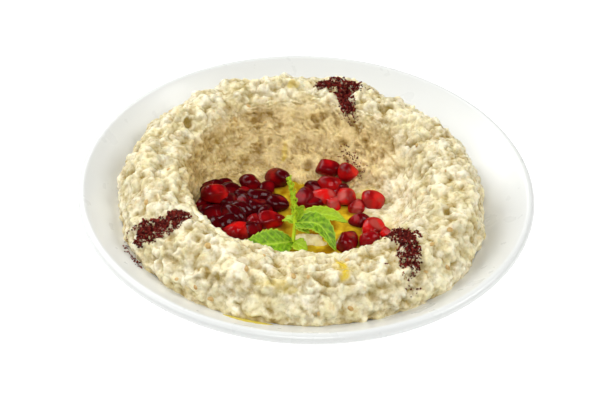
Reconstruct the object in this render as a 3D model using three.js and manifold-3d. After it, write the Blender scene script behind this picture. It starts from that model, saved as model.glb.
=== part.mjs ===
// Baba ganoush in a deep white plate: a thick ring of aubergine dip with a well
// in its middle, olive oil in the well, pomegranate seeds, a sprig of mint and
// three pinches of sumac. Millimetres, +Z up. The origin is the middle of the
// plate's foot, the Z axis is the plate's axis, and -Y faces the eater.

import * as THREE from "three";
import { ImprovedNoise } from "three/addons/math/ImprovedNoise.js";
import { mergeVertices } from "three/addons/utils/BufferGeometryUtils.js";
import Module from "manifold-3d";

const wasm = await Module();
wasm.setup();

// ---- Driving dimensions, mm and degrees ----
const GAP = 0.35; // kept between pieces that rest on each other

const PLATE = {
  radius: 105,
  height: 31.2,
  wall: 3.8,
  floor: 7, // height of the eating surface
  floorRadius: 46,
  rise: 1.8, // exponent of the curve from the floor to the lip
  lip: 2.35, // half the thickness of the rolled edge
  footRadius: 56,
  footWidth: 5,
  sides: 48,
  wallSteps: 5,
};

// A list of eight holds a size at every 45 degrees round the plate, from +X.
const DIP = {
  wellFloor: 10.6,
  wellReach: { right: 36, back: 18, left: 50, front: 35 }, // radius of that floor
  edgeRadius: 56, // where the well's wall rolls over into the ring
  edgeHeight: 34.5,
  topRadius: 70,
  top: [39.4, 37.6, 39.4, 41.6, 40.8, 39, 37.7, 39.2],
  base: [82.6, 80.6, 83, 85.6, 86.4, 88.4, 87.2, 88],
  lump: 2.2, // depth of the curds on the ring
  wallLump: 0.7, // and on the smoother wall of the well
  floorLump: 0.15,
  curd: 8, // size of the large curds, and of the small ones among them
  smallCurd: 4.3,
  sides: 80,
  rings: 22,
};
const MOUND = { x: 1, y: -23, long: 17, deep: 9.5, height: 4.6 }; // of dip, in the well

const OIL = { level: 12.5, edge: 0.4, gap: 0.5, sides: 36 }; // its gap over the dip's floor

const SEED = { long: 11.6, wide: 9, high: 8.4, taper: 0.25 };
const SEED_TOUCH = 0.9; // seeds in a heap lie closer than their radii by this share
// Seeds that touch: x, y, turn, tilt and size. Each settles on those before it.
const LEFT_HEAP = [
  [-48.2, -2.4, 80, 0, 0.9],
  [-44.2, 11.4, 30, 0, 0.95],
  [-38.2, 14.2, -20, 0, 0.8],
  [-35.1, 0, 60, 10, 0.95],
  [-29, 7.4, 15, 0, 1],
  [-26, 15.2, -10, 5, 1],
  [-18.4, 12, 70, 0, 0.9],
  [-22.6, -0.8, 40, 0, 0.9],
  [-13.4, 1.6, 4, 0, 0.95],
  [-15.4, -10.2, 20, 15, 1.02],
  [-24, -11.6, 75, 0, 0.85],
  [-30.6, -19.6, 10, 0, 1.1],
  [-33.6, -9.4, -30, 0, 0.95],
  [-42.6, -9.4, 50, 0, 0.95],
  [-40.4, -18.6, -60, 0, 0.9],
  [-41.6, 0.2, 6, 8, 1.1],
];
const RIGHT_HEAP = [
  [10.1, 18, 160, 0, 1.05],
  [20, 24.2, 80, 30, 1.02],
  [10.2, 26, -15, 0, 1],
  [-0.4, 8.2, 60, 0, 0.92],
  [8.6, 8.4, -15, 0, 1],
  [18.4, 8.6, 75, 25, 1],
  [23.8, 3, 90, 0, 0.8],
];
// The film of juice under each heap, which holds it together: middle and size.
const LEFT_JUICE = { x: -31, y: -1, long: 40, deep: 36 };
const RIGHT_JUICE = { x: 12.5, y: 14, long: 23, deep: 21 };
const JUICE_DEPTH = 0.8;
const LOOSE_SEEDS = [
  [-13.8, 20.6, -48, -25, 1.12],
  [31.4, 6, 4, 0, 1.1],
  [25, -7.4, 5, 0, 0.78],
  [19.2, -23.8, 65, 0, 1],
  [30.2, -23.6, 15, 0, 0.9],
  [31.8, -14.2, 55, 20, 1.02],
  [37.4, -21.6, -25, 0, 0.55],
];

// Pinches of sumac on the ring: middle, reach along and across, turn, flakes.
const SUMAC = [
  { x: -63.5, y: -41, along: 12, across: 5, turn: 15, flakes: 13 },
  { x: 16, y: 61, along: 8.5, across: 5, turn: -55, flakes: 10 },
  { x: 43.5, y: -54, along: 9.5, across: 5, turn: -75, flakes: 11 },
];
const SUMAC_FLAKE = 1.35;
const AUBERGINE_SEEDS = { count: 10, size: 1.5, from: 60, to: 80 }; // radii of their band

const LEAF = { thickness: 0.6, base: 0.12, cup: 0.1, wave: 0.35, waves: 3 };
const STEM = {
  radius: 0.85,
  tipRadius: 0.45,
  points: [
    [-5.2, -25, 13.9],
    [-4.6, -21.4, 23],
    [-5.6, -17.6, 33],
    [-8.2, -13.7, 42.4],
  ],
};
// Leaves: base, middle and tip of the midrib, width, and the way the blade faces.
const LEAVES = [
  { rib: [[-5.2, -25, 14.6], [-17, -30.6, 17], [-28, -31, 16.6]], width: 13, face: [0, -0.5, 0.85] },
  { rib: [[-5, -25, 14.4], [-1.8, -28.4, 15.4], [1.6, -30.4, 14.8]], width: 6.5, face: [0, -0.4, 0.9] },
  { rib: [[-4.6, -21.4, 22.6], [6.3, -24.4, 24.4], [14.4, -32, 16.4]], width: 10.4, face: [0.35, -0.3, 0.9] },
  { rib: [[-4.4, -20.8, 23], [8, -16.5, 24.2], [19.4, -16.6, 20.4]], width: 8.6, face: [0.05, -0.15, 1] },
  { rib: [[-4.8, -20.8, 22.4], [-7.6, -19, 22.8], [-10.4, -17.6, 20.6]], width: 6, face: [0, 0.1, 1] },
  { rib: [[-4.6, -20.6, 23.6], [-2.6, -19.4, 28], [-0.8, -19.6, 31.6]], width: 4.6, face: [-0.3, -0.9, 0.2] },
  { rib: [[-4.6, -22, 21.6], [-1.4, -24.2, 22.4], [2.4, -25.6, 20.6]], width: 3.6, face: [0, -0.5, 0.85] },
];
const SMALL_LEAF = 5; // width
const BUDS = { pairs: 5, length: 3.6, width: 1.5, from: 0.48 };

const DEGREE = Math.PI / 180;
const { lerp, smoothstep } = THREE.MathUtils;
const UP = new THREE.Vector3(0, 0, 1);
const noise = new ImprovedNoise();

function seededRandom(seed) {
  let state = seed;
  return () => {
    state = (state * 1664525 + 1013904223) % 4294967296;
    return state / 4294967296;
  };
}

// ---- Solids ----
function solidOf(geometry) {
  const bare = geometry.clone();
  bare.deleteAttribute("normal");
  bare.deleteAttribute("uv");
  const merged = mergeVertices(bare, 1e-3);
  return new wasm.Manifold(
    new wasm.Mesh({
      numProp: 3,
      vertProperties: merged.attributes.position.array,
      triVerts: new Uint32Array(merged.index.array),
    }),
  );
}

function geometryOf(solid) {
  const { vertProperties, triVerts } = solid.getMesh();
  const geometry = new THREE.BufferGeometry();
  geometry.setAttribute("position", new THREE.BufferAttribute(vertProperties, 3));
  geometry.setIndex(new THREE.BufferAttribute(triVerts, 1));
  geometry.computeVertexNormals();
  return geometry;
}

function joined(solids) {
  return solids.reduce((whole, solid) => whole.add(solid));
}

// A closed skin of rings of points between two poles, the first on top.
function skin(rings, sides, pointAt, top, bottom) {
  const points = [top];
  for (let i = 0; i < rings; i += 1) {
    for (let j = 0; j < sides; j += 1) points.push(pointAt(i, (j / sides) * 2 * Math.PI));
  }
  points.push(bottom);
  const last = points.length - 1;
  const at = (i, j) => 1 + i * sides + (j % sides);
  const faces = [];
  for (let j = 0; j < sides; j += 1) {
    faces.push(0, at(0, j), at(0, j + 1));
    faces.push(last, at(rings - 1, j + 1), at(rings - 1, j));
    for (let i = 0; i < rings - 1; i += 1) {
      faces.push(at(i, j), at(i + 1, j), at(i + 1, j + 1));
      faces.push(at(i, j), at(i + 1, j + 1), at(i, j + 1));
    }
  }
  const geometry = new THREE.BufferGeometry().setFromPoints(points);
  geometry.setIndex(faces);
  return solidOf(geometry);
}

// ---- Plate ----
const lipCentre = { r: PLATE.radius - PLATE.lip, z: PLATE.height - PLATE.lip };
const lipSlope = Math.atan(
  (PLATE.rise * (PLATE.height - PLATE.floor)) / (PLATE.radius - PLATE.floorRadius),
);
const wallEnd = {
  r: lipCentre.r - PLATE.lip * Math.sin(lipSlope),
  z: lipCentre.z + PLATE.lip * Math.cos(lipSlope),
};

function plateInside(r) {
  const share = Math.max(0, r - PLATE.floorRadius) / (wallEnd.r - PLATE.floorRadius);
  return PLATE.floor + (wallEnd.z - PLATE.floor) * share ** PLATE.rise;
}

function plateOutside(r) {
  const slope = Math.atan(plateInside(r + 0.5) - plateInside(r - 0.5));
  return [r + PLATE.wall * Math.sin(slope), plateInside(r) - PLATE.wall * Math.cos(slope)];
}

const wallRadius = (i) => lerp(PLATE.floorRadius, wallEnd.r, i / PLATE.wallSteps);

function makePlate(grow = 0) {
  const lipSteps = 4;
  const underside = PLATE.floor - PLATE.wall;
  const footInside = PLATE.footRadius - PLATE.footWidth;
  const profile = [
    [0, underside],
    [footInside - 1, underside],
    [footInside, 0],
    [PLATE.footRadius, 0],
    [PLATE.footRadius + 1, plateOutside(PLATE.footRadius)[1]],
  ];
  for (let i = 2; i < PLATE.wallSteps; i += 1) profile.push(plateOutside(wallRadius(i)));
  for (let i = 0; i <= lipSteps; i += 1) {
    const turn = lipSlope - Math.PI / 2 + (Math.PI * i) / lipSteps;
    profile.push([
      lipCentre.r + PLATE.lip * Math.cos(turn),
      lipCentre.z + PLATE.lip * Math.sin(turn),
    ]);
  }
  for (let i = PLATE.wallSteps - 1; i >= 0; i -= 1) {
    profile.push([wallRadius(i), plateInside(wallRadius(i)) + grow]);
  }
  profile.push([0, PLATE.floor + grow]);
  const lathe = new THREE.LatheGeometry(
    profile.map(([r, z]) => new THREE.Vector2(r, z)),
    PLATE.sides,
  );
  lathe.rotateX(Math.PI / 2); // the lathe turns about Y
  return solidOf(lathe);
}

// ---- Dip ----
// A size that changes smoothly between the eight given round the plate.
function around(sizes, theta) {
  const turn = ((theta / (2 * Math.PI) + 1) % 1) * sizes.length;
  const i = Math.floor(turn);
  return lerp(sizes[i], sizes[(i + 1) % sizes.length], smoothstep(turn - i, 0, 1));
}

function wellReach(theta) {
  const c = Math.cos(theta);
  const s = Math.sin(theta);
  const across = c > 0 ? DIP.wellReach.right : DIP.wellReach.left;
  const along = s > 0 ? DIP.wellReach.back : DIP.wellReach.front;
  return across * c * c + along * s * s;
}

// The section of the dip at an angle, from the middle of the well to the base.
function dipSection(theta) {
  const reach = wellReach(theta);
  const top = around(DIP.top, theta);
  const base = around(DIP.base, theta);
  const wall = (out, up) => [
    lerp(reach, DIP.edgeRadius, out),
    lerp(DIP.wellFloor, DIP.edgeHeight, up),
  ];
  return new THREE.SplineCurve(
    [
      [0, DIP.wellFloor],
      [reach * 0.55, DIP.wellFloor],
      wall(0, 0.03),
      wall(0.35, 0.2),
      wall(0.7, 0.56),
      wall(1, 1),
      [lerp(DIP.edgeRadius, DIP.topRadius, 0.5), top - 1.4],
      [DIP.topRadius, top],
      [lerp(DIP.topRadius, base, 0.5), top - 2.6],
      [base - 3, top - 8],
      [base - 0.4, top - 14.5],
      [base, plateInside(base) + GAP],
    ].map(([r, z]) => new THREE.Vector2(r, z)),
  );
}
const WALL_FOOT = 2 / 11; // shares of the section
const WALL_EDGE = 5 / 11;
const FLANK_FOOT = 0.86;

function lumpDepth(share) {
  if (share < WALL_FOOT) return DIP.floorLump;
  if (share < WALL_EDGE) {
    return lerp(DIP.floorLump, DIP.wallLump, (share - WALL_FOOT) / (WALL_EDGE - WALL_FOOT));
  }
  const fromEdge = smoothstep(share, WALL_EDGE, WALL_EDGE + 0.08);
  const toFoot = smoothstep(share, FLANK_FOOT, 1);
  return lerp(DIP.wallLump, DIP.lump, fromEdge) * (1 - toFoot);
}

function lumps({ x, y, z }) {
  const curds = (size, offset) => noise.noise(x / size + offset, y / size, z / size);
  return curds(DIP.curd, 0) + 0.7 * curds(DIP.smallCurd, 7);
}

// A point on the dip, grown outwards by grow, and the way its surface faces.
function dipSurface(section, theta, share, grow = 0) {
  const at = section.getPoint(share);
  const along = section.getTangent(share);
  const c = Math.cos(theta);
  const s = Math.sin(theta);
  const facing = new THREE.Vector3(-along.y * c, -along.y * s, along.x);
  const point = new THREE.Vector3(at.x * c, at.x * s, at.y);
  point.addScaledVector(facing, lumpDepth(share) * lumps(point) + grow);
  return { point, facing };
}

function makeDip(grow = 0) {
  const underRadii = [70, 46];
  const middle = dipSurface(dipSection(0), 0, 0, grow).point;
  return skin(
    DIP.rings + underRadii.length,
    DIP.sides,
    (i, theta) => {
      if (i < DIP.rings) {
        return dipSurface(dipSection(theta), theta, (i + 1) / DIP.rings, grow).point;
      }
      const r = underRadii[i - DIP.rings];
      const z = plateInside(r) + GAP - grow;
      return new THREE.Vector3(r * Math.cos(theta), r * Math.sin(theta), z);
    },
    middle,
    new THREE.Vector3(0, 0, PLATE.floor + GAP - grow),
  );
}

// A small heap of dip on the well's floor, with a shallow keel that reaches into it.
function makeMound(grow = 0) {
  const keel = 0.3;
  const mound = new THREE.IcosahedronGeometry(1, 1);
  const position = mound.attributes.position;
  for (let i = 0; i < position.count; i += 1) {
    if (position.getZ(i) < 0) position.setZ(i, position.getZ(i) * keel);
  }
  mound.scale(MOUND.long / 2 + grow, MOUND.deep / 2 + grow, MOUND.height + grow);
  mound.translate(MOUND.x, MOUND.y, DIP.wellFloor);
  return solidOf(mound);
}

// The share of the section at a radius, as the section only ever runs outwards.
function shareAt(section, radius) {
  let low = 0;
  let high = 1;
  for (let i = 0; i < 16; i += 1) {
    const middle = (low + high) / 2;
    if (section.getPoint(middle).x < radius) low = middle;
    else high = middle;
  }
  return low;
}

function dipAt(x, y) {
  const theta = Math.atan2(y, x);
  const section = dipSection(theta);
  return dipSurface(section, theta, shareAt(section, Math.hypot(x, y)));
}

// A small flat bit, dropped on the dip, half sunk and lying along its surface.
function bitOnDip(ground, x, y, size, random) {
  const fall = new THREE.Raycaster(new THREE.Vector3(x, y, 2 * PLATE.height), UP.clone().negate());
  const { point, normal } = fall.intersectObject(ground)[0];
  const bit = new THREE.TetrahedronGeometry(size);
  bit.scale(1.3, 1.1, 0.75);
  bit.rotateZ(random() * 2 * Math.PI);
  bit.rotateX((random() - 0.5) * 1.2);
  bit.applyQuaternion(new THREE.Quaternion().setFromUnitVectors(UP, normal));
  bit.translate(point.x, point.y, point.z);
  return solidOf(bit);
}

function makeSumac(ground) {
  const random = seededRandom(11);
  const bell = () => random() + random() - 1;
  return SUMAC.flatMap(({ x, y, along, across, turn, flakes }) => {
    const c = Math.cos(turn * DEGREE);
    const s = Math.sin(turn * DEGREE);
    return Array.from({ length: flakes }, () => {
      const u = bell() * along;
      const v = bell() * across;
      return bitOnDip(ground, x + u * c - v * s, y + u * s + v * c, SUMAC_FLAKE, random);
    });
  });
}

function makeAubergineSeeds(ground) {
  const random = seededRandom(5);
  const { count, size, from, to } = AUBERGINE_SEEDS;
  return Array.from({ length: count }, (_, i) => {
    const theta = ((i + random() * 0.6) / count) * 2 * Math.PI;
    const r = lerp(from, to, random());
    return bitOnDip(ground, r * Math.cos(theta), r * Math.sin(theta), size, random);
  });
}

// ---- Oil ----
// It lies on the well's floor and ends where the wall comes up through it.
function makeOil() {
  const floorShares = [1, 0.75];
  const edgeShare = (section) => {
    let share = WALL_FOOT;
    while (section.getPoint(share).y + OIL.gap < OIL.level - OIL.edge) share += 0.002;
    return share;
  };
  return skin(
    1 + floorShares.length,
    OIL.sides,
    (i, theta) => {
      const section = dipSection(theta);
      const edge = edgeShare(section);
      const at = section.getPoint(i === 0 ? edge : edge * floorShares[i - 1]);
      const z = i === 0 ? OIL.level : at.y + OIL.gap;
      return new THREE.Vector3(at.x * Math.cos(theta), at.x * Math.sin(theta), z);
    },
    new THREE.Vector3(0, 0, OIL.level),
    new THREE.Vector3(0, 0, DIP.wellFloor + OIL.gap),
  );
}

// ---- Pomegranate seeds ----
// The height at which a ball of this radius rests on the dip and on other seeds.
function restHeight(x, y, radius, others) {
  let z = -Infinity;
  for (const reach of [0, 0.4, 0.7, 0.95]) {
    for (let turn = 0; turn < 8; turn += 1) {
      const dx = reach * radius * Math.cos((turn * Math.PI) / 4);
      const dy = reach * radius * Math.sin((turn * Math.PI) / 4);
      const under = dipAt(x + dx, y + dy).point.z + GAP;
      z = Math.max(z, under + radius * Math.sqrt(1 - reach * reach));
    }
  }
  for (const other of others) {
    const apart = Math.hypot(x - other.x, y - other.y);
    const touch = SEED_TOUCH * (radius + other.radius);
    if (apart < touch) z = Math.max(z, other.z + Math.sqrt(touch * touch - apart * apart));
  }
  return z;
}

// One seed: blunt at one end, pointed at the other.
function seedSolid({ x, y, z, turn, tilt, size }, grow = 0) {
  const seed = new THREE.IcosahedronGeometry(1, 1);
  const position = seed.attributes.position;
  for (let i = 0; i < position.count; i += 1) {
    const taper = 1 - SEED.taper * position.getX(i);
    position.setY(i, position.getY(i) * taper);
    position.setZ(i, position.getZ(i) * taper);
  }
  seed.scale(
    (SEED.long * size) / 2 + grow,
    (SEED.wide * size) / 2 + grow,
    (SEED.high * size) / 2 + grow,
  );
  seed.rotateY(tilt * DEGREE);
  seed.rotateZ(turn * DEGREE);
  seed.translate(x, y, z);
  return solidOf(seed);
}

// The hole that a seed leaves in the oil, a plain eight-sided one round the seed.
function seedHole({ x, y, z, turn, tilt, size }) {
  const sides = 8;
  const clear = (1.02 + Math.abs(tilt) / 150) / Math.cos(Math.PI / sides);
  const high = (SEED.high * size) / 2;
  const share = Math.sqrt(Math.max(0.05, 1 - ((z - OIL.level) / high) ** 2));
  const hole = new THREE.CylinderGeometry(1, 1, SEED.high, sides);
  hole.rotateX(Math.PI / 2); // the cylinder stands along Y
  hole.scale(
    clear * ((SEED.long * size * share) / 2 + GAP),
    clear * ((SEED.wide * size * share) / 2 + GAP),
    1,
  );
  hole.rotateZ(turn * DEGREE);
  hole.translate(x, y, OIL.level);
  return solidOf(hole);
}

function makeJuice({ x, y, long, deep }, grow = 0) {
  const film = new THREE.CylinderGeometry(1, 1, 1, 12);
  film.rotateX(Math.PI / 2);
  film.scale(long / 2 + grow, deep / 2 + grow, JUICE_DEPTH + 2 * grow);
  film.translate(x, y, DIP.wellFloor + OIL.gap + JUICE_DEPTH / 2);
  return solidOf(film);
}

function settle(list) {
  const settled = [];
  for (const [x, y, turn, tilt, size] of list) {
    const radius = (SEED.high * size) / 2;
    settled.push({ x, y, z: restHeight(x, y, radius, settled), turn, tilt, size, radius });
  }
  return settled;
}

// ---- Mint ----
// A thin blade over a grid: both faces are split into triangles alike.
function blade(columns, rows, pointAt, thickness) {
  const points = [];
  for (const side of [0.5, -0.5]) {
    for (let i = 0; i <= rows; i += 1) {
      for (let j = 0; j <= columns; j += 1) {
        const { point, facing } = pointAt(i / rows, (j / columns) * 2 - 1);
        points.push(point.clone().addScaledVector(facing, side * thickness));
      }
    }
  }
  const under = (rows + 1) * (columns + 1);
  const at = (i, j) => i * (columns + 1) + j;
  const faces = [];
  const quad = (a, b, c, d) => faces.push(a, b, c, a, c, d);
  for (let i = 0; i < rows; i += 1) {
    for (let j = 0; j < columns; j += 1) {
      const corners = [at(i, j), at(i, j + 1), at(i + 1, j + 1), at(i + 1, j)];
      quad(...corners);
      const [a, b, c, d] = corners.map((k) => k + under);
      faces.push(a, c, b, a, d, c);
    }
    quad(at(i, 0), at(i + 1, 0), at(i + 1, 0) + under, at(i, 0) + under);
    const end = at(i, columns);
    const next = at(i + 1, columns);
    quad(next, end, end + under, next + under);
  }
  for (let j = 0; j < columns; j += 1) {
    quad(at(0, j + 1), at(0, j), at(0, j) + under, at(0, j + 1) + under);
    const end = at(rows, j);
    const next = at(rows, j + 1);
    quad(end, next, next + under, end + under);
  }
  const geometry = new THREE.BufferGeometry().setFromPoints(points);
  geometry.setIndex(faces);
  return solidOf(geometry);
}

function makeLeaf({ rib, width, face }) {
  const columns = width > SMALL_LEAF ? 4 : 2;
  const rows = width > SMALL_LEAF ? 6 : 4;
  const midrib = new THREE.CatmullRomCurve3(rib.map((p) => new THREE.Vector3(...p)));
  const faceWay = new THREE.Vector3(...face).normalize();
  return blade(
    columns,
    rows,
    (t, s) => {
      const along = midrib.getTangent(t);
      const side = new THREE.Vector3().crossVectors(faceWay, along).normalize();
      const facing = new THREE.Vector3().crossVectors(along, side).normalize();
      const share = Math.max(LEAF.base, Math.sin(Math.PI * t ** 0.8)); // of the full width
      const wave = LEAF.wave * Math.sin(t * LEAF.waves * 2 * Math.PI) * s * s;
      const point = midrib
        .getPoint(t)
        .addScaledVector(side, (-s * share * width) / 2)
        .addScaledVector(facing, (wave + LEAF.cup * width * Math.abs(s)) * share);
      return { point, facing };
    },
    LEAF.thickness,
  );
}

function makeSprig() {
  const line = new THREE.CatmullRomCurve3(STEM.points.map((p) => new THREE.Vector3(...p)));
  const section = new THREE.Shape().absarc(0, 0, STEM.radius, 0, 2 * Math.PI);
  const stem = new THREE.ExtrudeGeometry(section, {
    steps: 10,
    curveSegments: 3,
    extrudePath: line,
    bevelEnabled: false,
  });
  const position = stem.attributes.position;
  const lowest = STEM.points[0][2];
  const highest = STEM.points.at(-1)[2];
  for (let i = 0; i < position.count; i += 1) {
    const share = THREE.MathUtils.clamp((position.getZ(i) - lowest) / (highest - lowest), 0, 1);
    const axis = line.getPoint(share);
    const slim = lerp(1, STEM.tipRadius / STEM.radius, share);
    position.setX(i, axis.x + (position.getX(i) - axis.x) * slim);
    position.setY(i, axis.y + (position.getY(i) - axis.y) * slim);
  }
  const pieces = [solidOf(stem), ...LEAVES.map((leaf) => makeLeaf(leaf))];
  for (let i = 0; i < BUDS.pairs; i += 1) {
    const root = line.getPoint(lerp(BUDS.from, 0.94, i / (BUDS.pairs - 1)));
    for (const way of [0, Math.PI]) {
      const out = way + i * 1.2;
      const reach = new THREE.Vector3(0.5 * Math.cos(out), 0.5 * Math.sin(out), 0.86);
      const bud = new THREE.OctahedronGeometry(1);
      bud.scale(BUDS.width / 2, BUDS.width / 4, BUDS.length / 2);
      bud.rotateZ(out + Math.PI / 2);
      bud.applyQuaternion(new THREE.Quaternion().setFromUnitVectors(UP, reach));
      const middle = root.addScaledVector(reach, BUDS.length / 2);
      bud.translate(middle.x, middle.y, middle.z);
      pieces.push(solidOf(bud));
      root.addScaledVector(reach, -BUDS.length / 2);
    }
  }
  return joined(pieces);
}

// ---- The plateful ----
const leftHeap = settle(LEFT_HEAP);
const rightHeap = settle(RIGHT_HEAP);
const looseSeeds = settle(LOOSE_SEEDS);

const bareDip = makeDip();
const grownDip = makeDip(GAP);
const ground = new THREE.Mesh(geometryOf(bareDip));
const bits = joined([...makeSumac(ground), ...makeAubergineSeeds(ground)]).subtract(makePlate(GAP));
const dip = joined([bareDip, makeMound(), bits]);
const roomForLoose = joined(looseSeeds.map((seed) => seedSolid(seed, GAP)));
function heapSolid(heap, juice) {
  const seeds = heap.map((seed) => seedSolid(seed));
  return joined([makeJuice(juice), ...seeds]).subtract(grownDip).subtract(roomForLoose);
}
const mint = makeSprig().subtract(makeMound(GAP)).subtract(grownDip);

const allSeeds = [...leftHeap, ...rightHeap, ...looseSeeds];
let oil = makeOil().subtract(makeMound(GAP));
for (const juice of [LEFT_JUICE, RIGHT_JUICE]) oil = oil.subtract(makeJuice(juice, GAP));
for (const seed of allSeeds) oil = oil.subtract(seedHole(seed));

const group = new THREE.Group();
function add(name, solid, material) {
  const mesh = new THREE.Mesh(geometryOf(solid), material);
  mesh.name = name;
  group.add(mesh);
}

const porcelain = new THREE.MeshStandardMaterial({ color: 0xf3f3ee, roughness: 0.12 });
const aubergine = new THREE.MeshStandardMaterial({ color: 0xe6dbb0, roughness: 0.5 });
const oliveOil = new THREE.MeshStandardMaterial({ color: 0xc99a1e, roughness: 0.05 });
const pomegranate = new THREE.MeshStandardMaterial({ color: 0x9c1420, roughness: 0.12 });
const leafGreen = new THREE.MeshStandardMaterial({ color: 0x5fa32a, roughness: 0.45 });

add("plate", makePlate(), porcelain);
add("dip", dip, aubergine);
add("olive_oil", oil, oliveOil);
add("pomegranate_left", heapSolid(leftHeap, LEFT_JUICE), pomegranate);
add("pomegranate_right", heapSolid(rightHeap, RIGHT_JUICE), pomegranate);
looseSeeds.forEach((seed, i) => {
  const near = looseSeeds.slice(0, i).map((other) => seedSolid(other, GAP));
  const solid = near.reduce((left, other) => left.subtract(other), seedSolid(seed));
  add(`pomegranate_seed_${i + 1}`, solid.subtract(grownDip), pomegranate);
});
add("mint_sprig", mint, leafGreen);

export default group;
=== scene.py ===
"""Baba ganoush in a deep white plate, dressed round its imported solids: glazed porcelain,
curdled aubergine dip, golden oil, pomegranate seeds, a sprig of mint and pinches of sumac.

Shapes are worked out in millimetres, as the lists below give them, and each mesh is scaled
to metres when it is finished. The sizes in the sidebar panel are in metres.
"""

import random
from functools import cache
from math import atan, atan2, cos, exp, hypot, inf, log, pi, radians, sin, sqrt

import bmesh
import bpy
from mathutils import Matrix, Quaternion, Vector
from mathutils.bvhtree import BVHTree
from mathutils.noise import noise, noise_vector, seed_set, voronoi


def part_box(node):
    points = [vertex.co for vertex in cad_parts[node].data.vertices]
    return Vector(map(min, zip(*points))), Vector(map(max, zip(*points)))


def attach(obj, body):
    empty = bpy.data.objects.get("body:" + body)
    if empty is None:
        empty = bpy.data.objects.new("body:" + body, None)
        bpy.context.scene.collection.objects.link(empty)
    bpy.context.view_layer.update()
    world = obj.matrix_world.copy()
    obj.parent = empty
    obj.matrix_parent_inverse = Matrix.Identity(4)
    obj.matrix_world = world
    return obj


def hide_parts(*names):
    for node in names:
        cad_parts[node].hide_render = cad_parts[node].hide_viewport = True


bl_info = {
    "name": "Baba Ganoush Plateful",
    "version": (1, 0, 0),
    "blender": (4, 5, 0),
    "location": "View3D > Sidebar > Meze",
    "description": "Builds a plate of baba ganoush with its oil, seeds, mint and sumac",
    "category": "Add Mesh",
}

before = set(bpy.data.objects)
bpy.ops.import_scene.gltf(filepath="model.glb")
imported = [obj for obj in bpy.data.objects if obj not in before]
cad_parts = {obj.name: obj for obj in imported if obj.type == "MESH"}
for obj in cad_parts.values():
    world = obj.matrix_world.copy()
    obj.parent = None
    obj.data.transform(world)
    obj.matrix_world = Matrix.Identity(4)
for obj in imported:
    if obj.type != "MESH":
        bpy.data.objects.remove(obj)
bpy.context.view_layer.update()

MM = 0.001
TURN = 2 * pi
UP = Vector((0, 0, 1))

PLATE_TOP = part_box("plate")[1]
OIL_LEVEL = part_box("olive_oil")[1].z / MM
PLATE_RISE = 1.8  # how the bowl curves up to the lip: 1 is a straight cone

# ---- The dip: a list of eight holds a size at every 45 degrees round the plate, from +X ----
WELL_FLOOR = 10.6
WELL_REACH = {"right": 36, "back": 18, "left": 50, "front": 35}
EDGE_RADIUS = 56
EDGE_HEIGHT = 34.5
TOP_RADIUS = 70
RING_TOP = [39.4, 37.6, 39.4, 41.6, 40.8, 39, 37.7, 39.2]
RING_BASE = [82.6, 80.6, 83, 85.6, 86.4, 88.4, 87.2, 88]
WALL_FOOT = 2 / 11  # shares of the section, from the middle of the well to the base
WALL_EDGE = 5 / 11
FLANK_FOOT = 0.86
WALL_RADIUS = 46  # halfway up the spooned wall
SECTION_LONG = 115  # from the middle of the well over the ring to its base
SMOOTH_TO = [0.3, 0.42, 0.445, 0.46, 0.455, 0.45, 0.43, 0.36]  # where the spoon left the wall
POOL_REACH = [27, 22, 20, 26, 44, 44, 38, 38]
PITS = [  # dimples: x, y, radius and depth
    (-56.5, 29.5, 2.4, 2.6),
    (0.5, 31, 2.6, 1.0),
    (-29.6, 31.2, 1.6, 0.7),
    (62.6, -28.7, 1.8, 1.4),
]
WELL_ROWS = [(0, 0.17, 30), (0.17, 0.48, 128), (0.48, 1, 9)]  # shares, and rows between them
CORE_SUNK = 4.4  # how deep the well's skin lies under the ring of curds
CORE_UNDER = (72, 58, 40, 0)  # radii of its underside
CURD_SEED = 5  # without one, noise_vector takes its seed from the clock

# Stains of oil on the dip: x, y, length, width, turn and strength.
OIL_STAINS = [
    (16.4, -67, 18, 9, -75, 0.45),
    (15.8, -63.6, 10, 7, -75, 1),
    (17.4, -71.6, 7.5, 5.5, -75, 1),
    (-8.4, 66, 8, 5, 20, 0.5),
    (-11.2, 37, 10, 3.6, 80, 0.5),
    (28, 12, 16, 12, 40, 0.5),
    (-10, -78, 22, 5, -12, 0.4),
    (37, -12, 18, 8, -50, 0.35),
]

MOUND = (1.5, -21.2, 19, 9.4)  # the small heap of dip in the oil: x, y, length and width
MOUND_HEIGHT = 4.2
JUICE_AND_SHADE = (-31, -2, 38, 34)  # where the seeds on the left bleed, and the shade between them is painted dark red: x, y, length and width
JUICE_AND_SHADE_SPREAD = 0.9  # how far out of a seed the juice and its painted shade reach
CREEP = {"dip": 1.1, "seed": 0.8}  # how far out the oil is lifted round them
POOL_SUNK = 1.6  # how far the pool reaches into the dip
TRICKLE = {"from": 248, "to": 262.5, "out": 1.7, "wide": 2.5, "high": 0.5}  # angles, and sizes

SEED = {"long": 11.6, "wide": 9, "high": 8.4, "taper": 0.16}
SEED_TOUCH = 0.9  # how near two seeds' middles come, as a share of their radii
SEED_FACETS = 9
FACET_SHARPNESS = 12
FACET_SPREAD = 0.1  # how unevenly the facets are pressed in
PRESSED_SWELL = 1.2  # makes up for the size that the facets take off
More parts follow.
